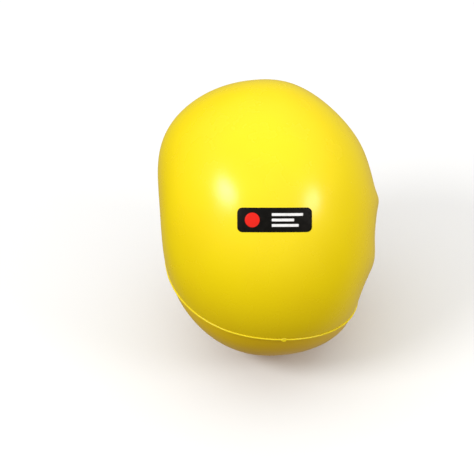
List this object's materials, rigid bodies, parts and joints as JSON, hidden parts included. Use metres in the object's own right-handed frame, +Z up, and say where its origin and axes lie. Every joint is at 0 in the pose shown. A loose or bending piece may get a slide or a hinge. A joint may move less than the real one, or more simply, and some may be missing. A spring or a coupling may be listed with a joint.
{
  "type": "stress ball",
  "caption": "Round foam stress ball with a smooth yellow skin, a fine parting line and a small plain printed label, held in a light squeeze; it springs back to a ball.",
  "frame": {"origin": "centre of the ball in its rest pose, the light squeeze", "axes": "+X is the squeeze axis, pointing at the finger side, and -X points at the palm; +Z is up; -Y is the printed front"},
  "size_m": [0.056, 0.07, 0.07],
  "materials": {
    "foam": "soft open-cell foam, matte",
    "skin_upper": "semi-gloss flexible paint on a dense foam skin",
    "skin_lower": "semi-gloss flexible paint on a dense foam skin, slightly duller",
    "parting_bead": "semi-gloss flexible paint",
    "ink_black": "pad-printed ink, satin",
    "ink_red": "pad-printed ink, satin",
    "ink_white": "pad-printed ink, satin"
  },
  "bodies": {
    "palm_side": {"foam_core_palm": "foam", "skin_upper_palm": "skin_upper", "skin_lower_palm": "skin_lower", "parting_bead_palm": "parting_bead", "label_panel_palm": "ink_black", "label_dot": "ink_red"},
    "finger_side": {"foam_core_finger": "foam", "skin_upper_finger": "skin_upper", "skin_lower_finger": "skin_lower", "parting_bead_finger": "parting_bead", "vent_nub": "parting_bead", "label_panel_finger": "ink_black", "label_bars": "ink_white"}
  },
  "joints": [
    {"name": "squeeze", "type": "slide", "parent": "palm_side", "child": "finger_side", "axis": [-1, 0, 0], "range_m": [-0.014, 0.014], "stiffness_N_per_m": 3000, "springref_m": -0.014, "deforming": ["foam_core_palm", "foam_core_finger", "skin_upper_palm", "skin_upper_finger", "skin_lower_palm", "skin_lower_finger", "parting_bead_palm", "parting_bead_finger", "vent_nub", "label_panel_palm", "label_panel_finger", "label_dot", "label_bars"]}
  ]
}
